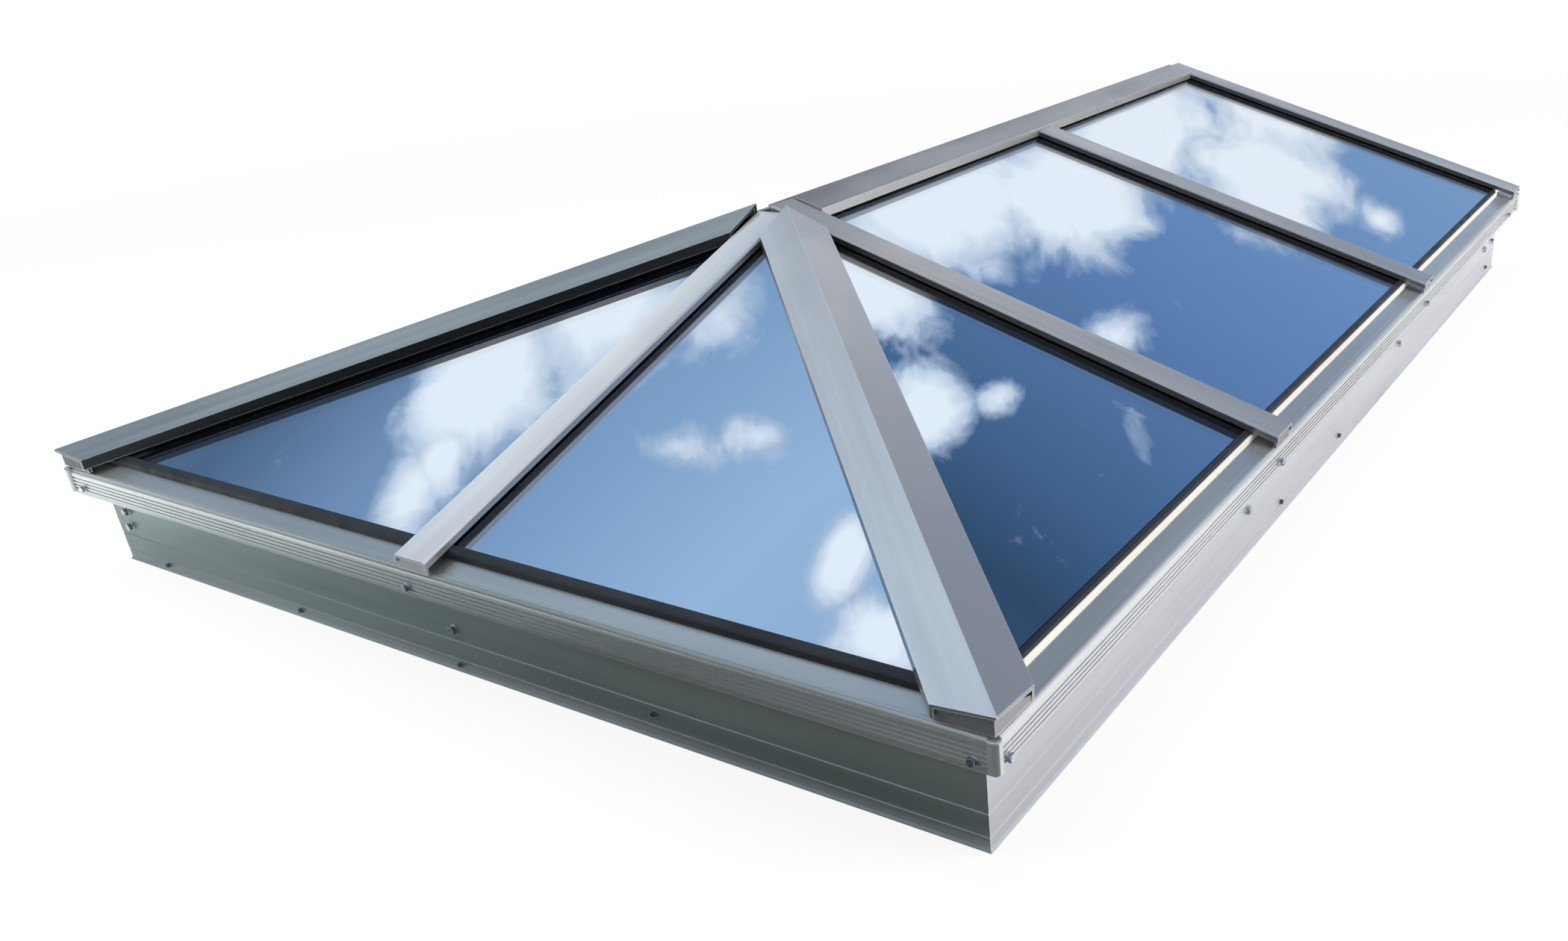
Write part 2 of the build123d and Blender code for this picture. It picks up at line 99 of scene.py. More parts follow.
def ramp(tree, value, stops):
    # each stop is a place and either a web colour or a grey
    node = makeNode(tree, "ShaderNodeValToRGB", {"Fac": value})
    while len(node.color_ramp.elements) < len(stops):
        node.color_ramp.elements.new(0.5)
    for element, (place, tone) in zip(node.color_ramp.elements, stops):
        element.position = place
        element.color = rgb(tone) if isinstance(tone, str) else (tone, tone, tone, 1)
    return node.outputs["Color"]


def calc(tree, kind, a, b=0.0, clamp=False):
    values = {0: a, 1: b}
    return makeNode(tree, "ShaderNodeMath", values, operation=kind, use_clamp=clamp).outputs[0]


def vectorMath(tree, kind, *values):
    return makeNode(tree, "ShaderNodeVectorMath", dict(enumerate(values)), operation=kind)


def mixColour(tree, amount, a, b):
    return makeNode(tree, "ShaderNodeMix", {0: amount, 6: a, 7: b}, data_type="RGBA").outputs[2]


def mapRange(tree, value, *limits):
    # the limits are from low, from high and, where they aren't 0 and 1, to low and to high
    return makeNode(tree, "ShaderNodeMapRange", dict(enumerate((value, *limits)))).outputs[0]


def objectPlace(tree):
    return makeNode(tree, "ShaderNodeTexCoord").outputs["Object"]


def splitUp(tree, vector):
    return makeNode(tree, "ShaderNodeSeparateXYZ", {"Vector": vector}).outputs


def newGroup(name, inputs, outputs):
    group = bpy.data.node_groups.new(name, "ShaderNodeTree")
    for label, default in inputs.items():
        socket = group.interface.new_socket(
            name=label, in_out="INPUT", socket_type="NodeSocketFloat")
        socket.default_value = default
    for label in outputs:
        group.interface.new_socket(name=label, in_out="OUTPUT", socket_type="NodeSocketFloat")
    return group, group.nodes.new("NodeGroupInput").outputs, group.nodes.new("NodeGroupOutput")


def useGroup(tree, group, **values):
    return makeNode(tree, "ShaderNodeGroup", values, node_tree=group).outputs


# effects that several finishes share
streakLook = {"along": 1.3, "across": 160.0, "height": 1.3, "detail": 1.5, "broadDetail": 2.0,
              "broadScale": (1.1, 0.12, 0.12)}


def makeStreaks():
    # drawing lines left by the extrusion die, along a direction in plan
    group, inside, outside = newGroup(
        "extrusion streaks",
        {"Angle": 0.0, "Along": streakLook["along"], "Across": streakLook["across"],
         "Height": streakLook["height"]},
        ("Streak", "Cloudy"))
    turned = makeNode(group, "ShaderNodeVectorRotate",
                      {"Vector": objectPlace(group), "Angle": inside["Angle"]},
                      rotation_type="Z_AXIS")
    parts = splitUp(group, turned.outputs[0])
    place = makeNode(group, "ShaderNodeCombineXYZ", {
        "X": calc(group, "MULTIPLY", parts["X"], inside["Along"]),
        "Y": calc(group, "MULTIPLY", parts["Y"], inside["Across"]),
        "Z": calc(group, "MULTIPLY", parts["Z"], inside["Height"])}).outputs[0]
    fine = makeNode(group, "ShaderNodeTexNoise", {
        "Vector": place, "Scale": 1.0, "Detail": streakLook["detail"], "Roughness": 0.5})
    slow = makeNode(group, "ShaderNodeMapping",
                    {"Vector": place, "Scale": streakLook["broadScale"]})
    broad = makeNode(group, "ShaderNodeTexNoise", {
        "Vector": slow.outputs[0], "Scale": 1.0, "Detail": streakLook["broadDetail"],
        "Roughness": 0.5})
    feed(group, outside, {"Streak": fine.outputs["Fac"], "Cloudy": broad.outputs["Fac"]})
    return group


# radius and strength of the painted highlight along sharp edges
edgeHighlightLook = {"radius": 0.0012, "gain": 5.0, "samples": 4}


def makeEdgeHighlight():
    # painted highlight: a sharp edge made bright in the colour, standing in for light catching it
    group, inside, outside = newGroup(
        "painted edge highlight", {"Radius": edgeHighlightLook["radius"], "Gain": edgeHighlightLook["gain"]}, ("Highlight",))
    rounded = makeNode(group, "ShaderNodeBevel", {"Radius": inside["Radius"]},
                       samples=edgeHighlightLook["samples"])
    flat = makeNode(group, "ShaderNodeNewGeometry").outputs["Normal"]
    facing = vectorMath(group, "DOT_PRODUCT", rounded.outputs[0], flat).outputs["Value"]
    away = calc(group, "SUBTRACT", 1.0, facing)
    feed(group, outside, {"Highlight": calc(group, "MULTIPLY", away, inside["Gain"], clamp=True)})
    return group


smudgeLook = {"size": 9.0, "detail": 1.5, "bend": 0.6, "marks": [(0.42, 0.0), (0.70, 1.0)],
              "specks": 70.0, "speckEdge": [(0.04, 1.0), (0.08, 0.0)], "speckRarity": 0.93}


def makeSmudges():
    # hand marks, dried rain and dust
    group, inside, outside = newGroup(
        "smudges", {"Size": smudgeLook["size"], "Specks": smudgeLook["specks"]},
        ("Smudge", "Speck"))
    where = objectPlace(group)
    marks = makeNode(group, "ShaderNodeTexNoise", {
        "Vector": where, "Scale": inside["Size"], "Detail": smudgeLook["detail"],
        "Roughness": 0.5, "Distortion": smudgeLook["bend"]})
    soft = ramp(group, marks.outputs["Fac"], smudgeLook["marks"])
    dots = makeNode(group, "ShaderNodeTexVoronoi",
                    {"Vector": where, "Scale": inside["Specks"], "Randomness": 1.0})
    near = ramp(group, dots.outputs["Distance"], smudgeLook["speckEdge"])
    chance = makeNode(group, "ShaderNodeSeparateColor", {"Color": dots.outputs["Color"]})
    rare = calc(group, "GREATER_THAN", chance.outputs[0], smudgeLook["speckRarity"])
    feed(group, outside, {"Smudge": soft, "Speck": calc(group, "MULTIPLY", near, rare)})
    return group


# where the painted flank light and shade starts and ends, by how upright a face is
flankPaintLook = {"upright": 0.25, "lying": 0.5, "longFrom": 0.1, "longTo": 0.2}


def makeFlankPaint():
    # masks for painted light and shade: the upright flanks of a cap, and the faces that look to a
    # long side, which get their own lighter or darker tone
    group, inside, outside = newGroup(
        "painted flank light and shade", {"Upright": flankPaintLook["upright"], "Lying": flankPaintLook["lying"]},
        ("Side", "Long"))
    normal = makeNode(group, "ShaderNodeNewGeometry").outputs["True Normal"]
    parts = splitUp(group, normal)
    tilt = calc(group, "ABSOLUTE", parts["Z"])
    sideways = calc(group, "ABSOLUTE", parts["Y"])
    feed(group, outside, {
        "Side": mapRange(group, tilt, inside["Upright"], inside["Lying"], 1.0, 0.0),
        "Long": mapRange(group, sideways, flankPaintLook["longFrom"], flankPaintLook["longTo"])})
    return group


streakGroup, edgeHighlightGroup = makeStreaks(), makeEdgeHighlight()
smudgeGroup, flankPaintGroup = makeSmudges(), makeFlankPaint()
print("effect groups built")


# finishes
def newMaterial(name):
    material = bpy.data.materials.new(name)
    material.use_nodes = True
    tree = material.node_tree
    return material, tree, tree.nodes["Principled BSDF"]


def addRough(tree, shader, base, *marks):
    # a finish's own roughness and what its marks add to it
    for mask, amount in marks:
        base = calc(tree, "ADD", calc(tree, "MULTIPLY", mask, amount), base)
    feed(tree, shader, {"Roughness": base})


def addBump(tree, shader, height, strength, distance):
    bump = makeNode(tree, "ShaderNodeBump",
                    {"Height": height, "Strength": strength, "Distance": distance})
    feed(tree, shader, {"Normal": bump.outputs[0]})


# the two tones of the streaks, the painted highlight on sharp edges and, on caps, the painted
# light and shade of the flanks and long sides; all pieces are one aluminium, and the different
# tones of ends, hips and caps are painted light and shade; "streak" is the share of fine lines,
# the key after it how wide the painted edge highlight is and "level" marks pieces that lie level
metalTonesWithPaintedLight = {
    "curb": {"dark": "#b1b1b5", "light": "#c3c3c7", "edge": "#f4f5f7", "metallic": 0.6,
             "rough": 0.34, "streak": 0.2, "highlightWidth": 0.0008, "level": True},
    "curbEnd": {"dark": "#7a8585", "light": "#919c9b", "edge": "#b9c3c1", "metallic": 0.7,
                "rough": 0.34, "streak": 0.2, "highlightWidth": 0.0006, "level": True},
    "sill": {"dark": "#b2b4b4", "light": "#c9cac9", "edge": "#ffffff", "metallic": 0.8,
             "rough": 0.22, "streak": 0.12, "highlightWidth": 0.0003, "level": True},
    "sillEnd": {"dark": "#a3a8a7", "light": "#bec2c1", "edge": "#f6faf9", "metallic": 0.8,
                "rough": 0.22, "streak": 0.12, "highlightWidth": 0.0003, "level": True},
    "stop": {"dark": "#cfc9bd", "light": "#e2ddd3", "edge": "#f1ede5", "metallic": 0.1,
             "rough": 0.40, "streak": 0.2, "highlightWidth": 0.0004, "level": True},
    "hipCapNear": {"dark": "#b4b6b6", "light": "#dcdddc", "edge": "#fdfdfd", "side": "#8b8c8c",
                   "long": "#b4b4b5", "metallic": 0.75, "rough": 0.20, "streak": 0.2,
                   "highlightWidth": 0.0010, "level": False},
    "hipCapFar": {"dark": "#858a88", "light": "#adb1ad", "edge": "#f2f4f3", "side": "#333437",
                  "metallic": 0.75, "rough": 0.22, "streak": 0.2, "highlightWidth": 0.0010,
                  "level": False},
    "hipMidCap": {"dark": "#cdcecc", "light": "#ececea", "edge": "#ffffff", "side": "#a7a8ad",
                  "metallic": 0.65, "rough": 0.20, "streak": 0.2, "highlightWidth": 0.0010,
                  "level": False},
    "ridgeCap": {"dark": "#827f7d", "light": "#aaa7a5", "edge": "#f6f6f6", "side": "#b9b8b6",
                 "metallic": 0.75, "rough": 0.24, "streak": 0.2, "highlightWidth": 0.0010,
                 "level": False},
    "roofCap": {"dark": "#9d9b99", "light": "#c2c0be", "edge": "#f6f6f6", "side": "#6d6d70",
                "metallic": 0.75, "rough": 0.24, "streak": 0.2, "highlightWidth": 0.0010,
                "level": False},
    "bar": {"dark": "#8b8d90", "light": "#b3b5b8", "edge": "#dcdde0", "metallic": 0.7,
            "rough": 0.36, "streak": 0.2, "highlightWidth": 0.0010, "level": False},
}
metalGrain = {"across": 110.0, "levelHeight": 110.0, "slopedHeight": 1.3, "darkAt": 0.34,
              "lightAt": 0.66, "smudgeSize": 7.0, "specks": 80.0, "speck": "#6c6a66",
              "speckAmount": 0.15, "smudgeRough": 0.07, "streakRough": 0.05, "bump": 0.015,
              "bumpHeight": 0.0004}


def makeMetal(name, look, angle):
    material, tree, shader = newMaterial(name)
    grain = metalGrain
    upward = grain["levelHeight"] if look["level"] else grain["slopedHeight"]
    streaks = useGroup(tree, streakGroup, Angle=angle, Across=grain["across"], Height=upward)
    marks = useGroup(tree, smudgeGroup, Size=grain["smudgeSize"], Specks=grain["specks"])
    edges = useGroup(tree, edgeHighlightGroup, Radius=look["highlightWidth"])
    fine = calc(tree, "MULTIPLY", streaks["Streak"], look["streak"])
    broad = calc(tree, "MULTIPLY", streaks["Cloudy"], 1 - look["streak"])
    tone = ramp(tree, calc(tree, "ADD", fine, broad),
                [(grain["darkAt"], look["dark"]), (grain["lightAt"], look["light"])])
    speck = calc(tree, "MULTIPLY", marks["Speck"], grain["speckAmount"])
    tone = mixColour(tree, speck, tone, grain["speck"])
    # painted light and shade: flanks and faces towards a long side take their own lighter or
    # darker tone
    if "side" in look:
        sides = useGroup(tree, flankPaintGroup)
        if "long" in look:
            tone = mixColour(tree, sides["Long"], tone, look["long"])
        tone = mixColour(tree, sides["Side"], tone, look["side"])
    # painted highlight: sharp edges take the look's pale edge colour
    tone = mixColour(tree, edges["Highlight"], tone, look["edge"])
    feed(tree, shader, {"Base Color": tone, "Metallic": look["metallic"]})
    addRough(tree, shader, look["rough"], (marks["Smudge"], grain["smudgeRough"]),
             (streaks["Streak"], grain["streakRough"]))
    addBump(tree, shader, streaks["Streak"], grain["bump"], grain["bumpHeight"])
    return material


# directions in plan: along the length, across it, and up the two hips
turns = {"length": 0.0, "width": math.pi / 2, "hipNear": -hipAngle, "hipFar": hipAngle}
metals = {}


def metal(look, turn):
    key = look + "_" + turn
    if key not in metals:
        metals[key] = makeMetal(key, metalTonesWithPaintedLight[look], turns[turn])
    return metals[key]


glassLook = {"tint": "#f4f8fa", "ior": 1.5, "smudgeSize": 5.0, "smudgeRough": 0.003}


def makeGlass():
    material, tree, shader = newMaterial("clearGlass")
    marks = useGroup(tree, smudgeGroup, Size=glassLook["smudgeSize"])
    feed(tree, shader, {"Base Color": glassLook["tint"], "Transmission Weight": 1.0,
                        "IOR": glassLook["ior"]})
    addRough(tree, shader, 0.0, (marks["Smudge"], glassLook["smudgeRough"]))
    return material


coatLook = {"colour": "#e3edf9", "metallic": 0.95, "ior": 1.5, "waveSize": 3.0, "wave": 0.03,
            "waveHeight": 0.01}


def makeCoat():
    # the reflective coating on the lower pane of each unit, very slightly wavy
    material, tree, shader = newMaterial("mirrorCoat")
    feed(tree, shader, {"Base Color": coatLook["colour"], "Metallic": coatLook["metallic"],
                        "Transmission Weight": 1.0, "IOR": coatLook["ior"], "Roughness": 0.0})
    wave = makeNode(tree, "ShaderNodeTexNoise", {
        "Vector": objectPlace(tree), "Scale": coatLook["waveSize"], "Detail": 1.0})
    addBump(tree, shader, wave.outputs["Fac"], coatLook["wave"], coatLook["waveHeight"])
    return material


rubberLooks = {
    "rubber": {"dark": "#0d0e10", "light": "#232528", "rough": 0.42, "gloss": 0.5},
    "spacerBlack": {"dark": "#060607", "light": "#0e0e10", "rough": 0.6, "gloss": 0.1},
}
rubberGrain = {"smudgeSize": 30.0, "across": 90.0, "smudgeRough": 0.2, "bump": 0.1,
               "bumpHeight": 0.0005}


def makeRubber(name):
    material, tree, shader = newMaterial(name)
    look, grain = rubberLooks[name], rubberGrain
    marks = useGroup(tree, smudgeGroup, Size=grain["smudgeSize"])
    streaks = useGroup(tree, streakGroup, Across=grain["across"])
    tone = mixColour(tree, streaks["Cloudy"], look["dark"], look["light"])
    feed(tree, shader, {"Base Color": tone, "Specular IOR Level": look["gloss"]})
    addRough(tree, shader, look["rough"], (marks["Smudge"], grain["smudgeRough"]))
    addBump(tree, shader, marks["Smudge"], grain["bump"], grain["bumpHeight"])
    return material


steelLooks = {
    "screwSteel": {"dark": "#5b5d60", "light": "#c9ccd0", "rough": 0.2, "metallic": 1.0},
    "screwDark": {"dark": "#17181a", "light": "#3a3c3f", "rough": 0.35, "metallic": 0.8},
}
# edge is the colour of the painted highlight on the heads' sharp edges
steelGrain = {"smudgeSize": 160.0, "highlightWidth": 0.0006, "edge": "#f4f5f6", "smudgeRough": 0.2}


def makeSteel(name):
    material, tree, shader = newMaterial(name)
    look, grain = steelLooks[name], steelGrain
    marks = useGroup(tree, smudgeGroup, Size=grain["smudgeSize"])
    # painted highlight on the sharp edges of the screw heads
    edges = useGroup(tree, edgeHighlightGroup, Radius=grain["highlightWidth"])
    tone = mixColour(tree, marks["Smudge"], look["light"], look["dark"])
    tone = mixColour(tree, edges["Highlight"], tone, grain["edge"])
    feed(tree, shader, {"Base Color": tone, "Metallic": look["metallic"]})
    addRough(tree, shader, look["rough"], (marks["Smudge"], grain["smudgeRough"]))
    return material


glassFinish, coatFinish = makeGlass(), makeCoat()
rubberFinish, spacerFinish = makeRubber("rubber"), makeRubber("spacerBlack")
steelFinish, darkScrewFinish = makeSteel("screwSteel"), makeSteel("screwDark")
print("finishes made")


# CAD nodes get their finishes by the start of their names: the look and the direction of the
# lines; the first that fits counts. Ends, hips and caps take lighter or darker looks of the same
# aluminium, as painted light and shade
nodeFinishes = [
    ("curb_hip", "curbEnd", "width"), ("curb_gable", "curbEnd", "width"),
    ("curb", "curb", "length"), ("corner", "sill", "length"),
    ("sill_hip", "sillEnd", "width"), ("sill_gable", "sillEnd", "width"),
    ("sill", "sill", "length"), ("stop", "stop", "length"),
    ("hip_cap_near", "hipCapNear", "hipNear"), ("hip_cap_far", "hipCapFar", "hipFar"),
    ("ridge_cap", "ridgeCap", "length"), ("rafter_cap_hip", "hipMidCap", "length"),
    ("rafter_cap", "roofCap", "width"), ("hip_bar_near", "bar", "hipNear"),
    ("hip_bar_far", "bar", "hipFar"), ("ridge_beam", "bar", "length"),
    ("rafter_hip", "bar", "length"), ("rafter", "bar", "width"),
]


def finishFor(name):
    if name.startswith("glass"):
        return glassFinish
    if name.startswith("gasket"):
        return rubberFinish
    fits = ((look, turn) for start, look, turn in nodeFinishes if name.startswith(start))
    return metal(*next(fits))


for nodeName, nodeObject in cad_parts.items():
    finish = finishFor(nodeName)
    nodeObject.data.materials.clear()
    nodeObject.data.materials.append(finish)
print("CAD nodes finished")


# added pieces
def makeObject(name, mesh, finish):
    data = bpy.data.meshes.new(name)
    mesh.to_mesh(data)
    mesh.free()
    data.materials.append(finish)
    item = bpy.data.objects.new(name, data)
    bpy.context.collection.objects.link(item)
    return item


def addPiece(name, mesh, finish):
    piece = makeObject(name, mesh, finish)
    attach(piece, "root")


slopes = {
    "near": {"eaveMiddle": (0, -roof["halfWidth"]), "turn": 0.0, "slope": roof["slope"]},
    "far": {"eaveMiddle": (0, roof["halfWidth"]), "turn": math.pi, "slope": roof["slope"]},
    "hip": {"eaveMiddle": (-roof["halfLength"], 0), "turn": -math.pi / 2, "slope": endSlope},
}


def slopeMatrix(side):
    # x along the eave, y up the slope, z out of the glass, from the middle of the eave
    lie = slopes[side]
    return (Matrix.Translation((*lie["eaveMiddle"], roof["eave"]))
            @ Matrix.Rotation(lie["turn"], 4, "Z")
            @ Matrix.Rotation(math.atan(lie["slope"]), 4, "X"))


def paneCorners(side):
    # corners of the panes of a slope, as distance along the eave and up the slope; the near
    # and far panes are worked out in plan for the near side
    halfWide, edge, gap = roof["halfWidth"], roof["glassEdge"], roof["paneGap"]
    grow = math.sqrt(1 + slopes[side]["slope"] ** 2)
    if side == "hip":
        cut = roof["hipGap"] / math.cos(hipAngle)
        wide = halfWide - edge * halfWide / hipRun - cut
        top = (halfWide - gap - cut) * hipRun / halfWide
        half = [(gap, edge), (wide, edge), (gap, top)]
        panes = [half, [(-x, y) for x, y in half]]
    else:
        sense = 1 if side == "near" else -1
        cut = roof["hipGap"] / math.sin(hipAngle)
        last = roof["apexX"] - gap
        start = -roof["halfLength"] + edge * hipRun / halfWide + cut
        top = (last - (-roof["halfLength"] + cut)) * halfWide / hipRun
        panes = [[(start, edge), (last, edge), (last, top)]]
        top = halfWide - roof["ridgeGap"]
        for index in range(roof["bays"]):
            left = roof["apexX"] + index * roof["bay"] + gap
            right = roof["apexX"] + (index + 1) * roof["bay"] - gap
            panes.append([(left, edge), (right, edge), (right, top), (left, top)])
        panes = [[(sense * x, y) for x, y in corners] for corners in panes]
    return [[(x, y * grow) for x, y in corners] for corners in panes]


def edgeLines(corners):
    # each edge of a pane as its two ends and the direction into the pane, the eave's first
    middle = sum((Vector(c) for c in corners), Vector((0, 0))) / len(corners)
    for index, first in enumerate(corners):
        start, end = Vector(first), Vector(corners[(index + 1) % len(corners)])
        inward = Vector((start.y - end.y, end.x - start.x)).normalized()
        if inward.dot(middle - start) < 0:
            inward.negate()
        yield start, end, inward


def flatFace(corners, inset):
    # a face with the given corners, drawn in from its outline
    mesh = bmesh.new()
    face = mesh.faces.new([mesh.verts.new((x, y, 0)) for x, y in corners])
    bmesh.ops.recalc_face_normals(mesh, faces=[face])
    ring = bmesh.ops.inset_region(mesh, faces=[face], thickness=inset, use_even_offset=True)
    bmesh.ops.delete(mesh, geom=ring["faces"], context="FACES")
    return mesh


def sink(mesh, side, top, bottom):
    # gives flat faces their depth below the glass's upper face and puts them on a slope
    lower = bmesh.ops.extrude_face_region(mesh, geom=mesh.faces[:], use_keep_orig=True)["geom"]
    bmesh.ops.translate(mesh, verts=[v for v in lower if isinstance(v, bmesh.types.BMVert)],
                        vec=(0, 0, top - bottom))
    bmesh.ops.recalc_face_normals(mesh, faces=mesh.faces)
    place = slopeMatrix(side) @ Matrix.Translation((0, 0, -top))
    bmesh.ops.transform(mesh, matrix=place, verts=mesh.verts)


coatPiece = {"depth": 0.0095, "thickness": 0.0006, "inset": 0.001}


def addCoats():
    for side in slopes:
        for index, corners in enumerate(paneCorners(side)):
            mesh = flatFace(corners, coatPiece["inset"])
            sink(mesh, side, coatPiece["depth"], coatPiece["depth"] + coatPiece["thickness"])
            addPiece(f"mirrorCoat_{side}_{index + 1}", mesh, coatFinish)


spacerPiece = {"inset": 0.0008, "eave": 0.004, "wide": 0.018, "besideCaps": 0.030,
               "top": 0.0012, "bottom": 0.0094}
square = 1e-6  # how far out of line an edge may be, in metres, and still count as square


def addSpacers():
    # the black seal and spacer round the edge of each unit: a pane cut parallel to each edge,
    # without its middle
    for side in slopes:
        for index, corners in enumerate(paneCorners(side)):
            mesh = flatFace(corners, spacerPiece["inset"])
            for number, (start, end, inward) in enumerate(edgeLines(corners)):
                kind = "wide"
                if number == 0:
                    kind = "eave"
                elif side != "hip" and abs(start.x - end.x) < square:
                    kind = "besideCaps"
                wide = spacerPiece[kind] + spacerPiece["inset"]
                bmesh.ops.bisect_plane(
                    mesh, geom=mesh.verts[:] + mesh.edges[:] + mesh.faces[:],
                    plane_co=(*(start + inward * wide), 0), plane_no=(*inward, 0))
            clear = max(mesh.faces, key=lambda face: face.calc_area())
            bmesh.ops.delete(mesh, geom=[clear], context="FACES")
            sink(mesh, side, spacerPiece["top"], spacerPiece["bottom"])
            addPiece(f"unitSpacer_{side}_{index + 1}", mesh, spacerFinish)


# how far in from a pane's edge each strip lies, and its height
capGasket = {"wide": 0.003, "shorter": 0.02, "rafter": (0.01475, 0.0019),
             "ridge": (0.0321, 0.0019), "hip": (0.0305, 0.0027)}


def addCapGaskets():
    # thin black strips on the glass under the lips of the caps
    for side in slopes:
        mesh = bmesh.new()
        for corners in paneCorners(side):
            for start, end, inward in list(edgeLines(corners))[1:]:
                along = end - start
                kind = "hip"
                if abs(along.x) < square:
                    kind = "rafter"
                elif abs(along.y) < square:
                    kind = "ridge"
                reach, tall = capGasket[kind]
                middle = (start + end) / 2 + inward * reach
                size = (along.length - capGasket["shorter"] * 2, capGasket["wide"], tall)
                place = (slopeMatrix(side) @ Matrix.Translation((*middle, tall / 2))
                         @ Matrix.Rotation(math.atan2(along.y, along.x), 4, "Z")
                         @ Matrix.Diagonal((*size, 1)))
                bmesh.ops.create_cube(mesh, size=1.0, matrix=place)
        addPiece(f"capGaskets_{side}", mesh, spacerFinish)


ridgePlate = {"place": (0.9190, 0.0, 0.2870), "size": (0.0016, 0.0352, 0.0520)}


def addRidgePlate():
    # closes the end of the hollow ridge beam over the gable
    mesh = bmesh.new()
    place = Matrix.Translation(ridgePlate["place"]) @ Matrix.Diagonal((*ridgePlate["size"], 1))
    bmesh.ops.create_cube(mesh, size=1.0, matrix=place)
    addPiece("ridgeEndPlate", mesh, metal("bar", "width"))


addCoats()
addSpacers()
addCapGaskets()
addRidgePlate()
print("glass units filled")

# a full-size screw; each row below has its own scale
screwPiece = {"across": 0.0100, "height": 0.0048, "washer": 0.0068, "washerHeight": 0.0011,
              "washerTop": 0.84, "washerSides": 24, "chamfer": 0.0007, "firstTurn": 0.4}


def makeScrewShape(size):
    # a hexagon head on its flanged washer, standing on the ground
    mesh = bmesh.new()
    washerTall, headTall = screwPiece["washerHeight"], screwPiece["height"] * size
    rim = screwPiece["washer"] * size
    washer = bmesh.ops.create_cone(
        mesh, cap_ends=True, segments=screwPiece["washerSides"], radius1=rim,
        radius2=rim * screwPiece["washerTop"], depth=washerTall)
    bmesh.ops.translate(mesh, verts=washer["verts"], vec=(0, 0, washerTall / 2))
    radius = screwPiece["across"] * size / math.sqrt(3)
    head = bmesh.ops.create_cone(
        mesh, cap_ends=True, segments=6, radius1=radius, radius2=radius, depth=headTall)
    bmesh.ops.translate(mesh, verts=head["verts"], vec=(0, 0, washerTall + headTall / 2))
    nearTop = washerTall + headTall * 0.9  # above this are only the head's top edges
    topEdges = [e for e in mesh.edges if all(v.co.z > nearTop for v in e.verts)]
    bmesh.ops.bevel(mesh, geom=topEdges, offset=screwPiece["chamfer"] * size, segments=2,
                    profile=0.5, affect="EDGES", material=-1)
    shape = bpy.data.meshes.new("screwShape")
    mesh.to_mesh(shape)
    mesh.free()
    return shape


# rows of screws: their scale, how far out of the curb's face they stand, and for an end and a
# long side the distance along the wall and the height of each
screwRows = {
    "noseScrews": {
        "size": 0.70, "out": 0.0246, "finish": steelFinish,
        "end": [(-0.6142, 0.1050), (0.0194, 0.1050), (0.6074, 0.1050)],
        "long": [(-0.9186, 0.1045), (-0.3200, 0.1045), (0.3026, 0.1045), (0.8624, 0.1045)]},
    "curbScrews": {
        "size": 0.85, "out": 0.0, "finish": steelFinish,
        "end": [(0.5807, 0.0695), (0.5837, 0.0494), (0.0002, 0.0498)],
        "long": [(-0.3477, 0.0550), (0.2619, 0.0550), (0.8153, 0.0550), (0.8750, 0.0550)]},
    "smallScrews": {
        "size": 0.5, "out": 0.0, "finish": darkScrewFinish,
        "end": [(0.5256, 0.0090), (0.2651, 0.0090), (0.0022, 0.0090), (-0.2626, 0.0280)],
        "long": [(-0.2336, 0.0170), (-0.0120, 0.0170), (0.8483, 0.0160)]},
}
# the walls: which list of places they take and the direction that they face
walls = {"hip": ("end", (-1, 0, 0)), "near": ("long", (0, -1, 0)),
         "far": ("long", (0, 1, 0)), "gable": ("end", (1, 0, 0))}


def wallPlace(normal, along, out, height):
    if normal[0]:
        return normal[0] * (roof["halfLength"] + out), along, height
    return along, normal[1] * (roof["halfWidth"] + out), height


def addScrewRow(name, places, normal, row):
    mesh, shape = bmesh.new(), makeScrewShape(row["size"])
    turn = Vector((0, 0, 1)).rotation_difference(Vector(normal)).to_matrix().to_4x4()
    for index, (along, height) in enumerate(places):
        place = Matrix.Translation(wallPlace(normal, along, row["out"], height))
        spin = Matrix.Rotation(screwPiece["firstTurn"] + index, 4, "Z")
        placed = shape.copy()
        placed.transform(place @ turn @ spin)
        mesh.from_mesh(placed)
        bpy.data.meshes.remove(placed)
    addPiece(name, mesh, row["finish"])


for wallName, (placesName, normal) in walls.items():
    for rowName, row in screwRows.items():
        addScrewRow(f"{rowName}_{wallName}", row[placesName], normal, row)
print("screws added")


# studio
# the sky that the glass and the metal mirror: colours by height on three sides, and clouds as
# middle, size and strength on a level ceiling
skyLook = {
    "north": [(0.0, "#dfe8f1"), (0.30, "#8ba0ba"), (0.50, "#576f8c"), (0.56, "#7c98b8"),
              (0.66, "#8fadcd"), (0.74, "#a9c3de"), (1.0, "#86a6cd")],
    "east": [(0.0, "#dfe8f1"), (0.20, "#93b1d2"), (0.31, "#7fa0c8"), (0.43, "#6a8bb9"),
             (0.51, "#5b7aa3"), (0.575, "#4b6a90"), (0.64, "#364f6a"), (1.0, "#4b71a2")],
    "other": [(0.0, "#dfe8f1"), (0.20, "#93b1d2"), (0.50, "#7398c4"), (1.0, "#6188bb")],
    "toEast": [(0.35, 0.0), (0.60, 1.0)],
    "toNorth": [(0.36, 0.0), (0.52, 1.0)],
    "westShade": "#3b4443",
    "toWest": [(0.35, 0.0), (0.65, 1.0)],
    "shadeHeight": [(0.25, 1.0), (0.55, 0.0)],
    "fill": 0.28,
    "mirrored": 1.1,
}
